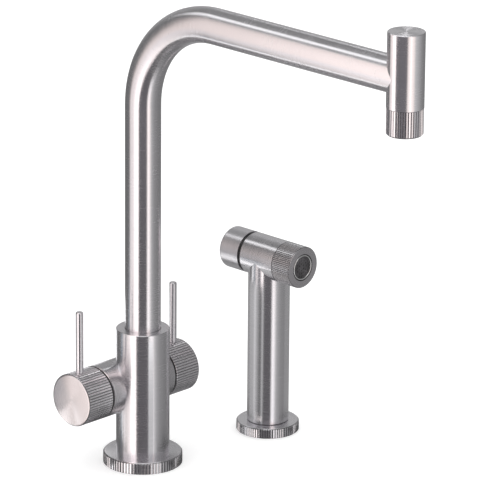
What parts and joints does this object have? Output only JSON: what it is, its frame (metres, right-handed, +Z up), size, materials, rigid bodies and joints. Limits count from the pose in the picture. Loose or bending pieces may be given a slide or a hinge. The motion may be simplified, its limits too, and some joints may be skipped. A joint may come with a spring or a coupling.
{
  "type": "side spray kitchen faucet",
  "caption": "Two-handle kitchen mixer in brushed steel with a tall bent swivel spout, knurled rims and pin levers, and a separate lift-out hand spray with a rear push cap.",
  "frame": {"origin": "on the deck, under the vertical axis of the mixer body", "axes": "+Z up along the mixer body, spout along -Y, valves along X with the hot one at -X, hand spray at +X"},
  "size_m": [0.2082, 0.3225, 0.405],
  "materials": {
    "brushed_stainless": "lengthwise brushed stainless steel",
    "turned_stainless": "turned and knurled stainless steel",
    "brass": "machined brass",
    "ceramic": "lapped ceramic",
    "black_rubber": "matt rubber",
    "black_plastic": "matt black acetal",
    "white_plastic": "plain moulded acetal",
    "spring_steel": "drawn stainless wire"
  },
  "bodies": {
    "deck": {"base_flange": "turned_stainless", "base_gasket": "black_rubber", "inlet_manifold": "brass", "manifold_seal": "black_rubber", "mixer_body": "brushed_stainless", "diverter_body": "white_plastic", "spout_glide_ring": "black_plastic", "spout_retaining_screw": "turned_stainless", "left_cartridge_body": "brass", "right_cartridge_body": "brass", "left_fixed_disc": "ceramic", "right_fixed_disc": "ceramic", "valve_seat_seals": "black_rubber", "cartridge_rings": "black_rubber", "left_glide_ring": "black_plastic", "right_glide_ring": "black_plastic", "spray_flange": "turned_stainless", "spray_gasket": "black_rubber", "spray_holder": "brass"},
    "spout": {"spout_tube": "brushed_stainless", "spout_foot": "brass", "spout_seals": "black_rubber", "spout_outlet": "brushed_stainless", "aerator_collar": "turned_stainless", "aerator_insert": "white_plastic", "aerator_washer": "black_rubber"},
    "left_handle": {"left_knob": "turned_stainless", "left_lever": "brushed_stainless", "left_spindle": "brass", "left_moving_disc": "ceramic", "left_knob_screw": "turned_stainless"},
    "right_handle": {"right_knob": "turned_stainless", "right_lever": "brushed_stainless", "right_spindle": "brass", "right_moving_disc": "ceramic", "right_knob_screw": "turned_stainless"},
    "diverter": {"diverter_poppet": "white_plastic", "diverter_seal": "black_rubber"},
    "hand_spray": {"spray_column": "brushed_stainless", "spray_head": "brushed_stainless", "dock_sleeve": "white_plastic", "hose_inlet": "brass", "riser_tube": "brass", "valve_housing": "brass", "valve_plug": "brass", "stem_seal": "black_rubber", "nozzle_collar": "turned_stainless", "nozzle_bezel": "turned_stainless", "spray_face": "black_rubber", "face_seal": "black_rubber", "button_guide": "black_plastic", "return_spring": "spring_steel"},
    "push_button": {"push_cap": "brushed_stainless", "valve_stem": "turned_stainless", "valve_disc": "black_rubber"}
  },
  "joints": [
    {"name": "spout_swivel", "type": "hinge", "parent": "deck", "child": "spout", "pos_m": [0, 0, 0.09], "axis": [0, 0, 1], "continuous": true},
    {"name": "left_handle_turn", "type": "hinge", "parent": "deck", "child": "left_handle", "pos_m": [0, 0.018, 0.0615], "axis": [1, 0, 0], "range_deg": [0, 90]},
    {"name": "right_handle_turn", "type": "hinge", "parent": "deck", "child": "right_handle", "pos_m": [0, 0.018, 0.0615], "axis": [1, 0, 0], "range_deg": [0, 90]},
    {"name": "diverter_shift", "type": "slide", "parent": "deck", "child": "diverter", "axis": [0, 0, 1], "range_m": [0, 0.003]},
    {"name": "spray_lift", "type": "slide", "parent": "deck", "child": "hand_spray", "axis": [0, 0, 1], "range_m": [0, 0.12]},
    {"name": "spray_button", "type": "slide", "parent": "hand_spray", "child": "push_button", "axis": [0, -1, 0], "range_m": [0, 0.0025], "stiffness_N_per_m": 1500, "springref_m": -0.004, "deforming": ["return_spring"]}
  ]
}
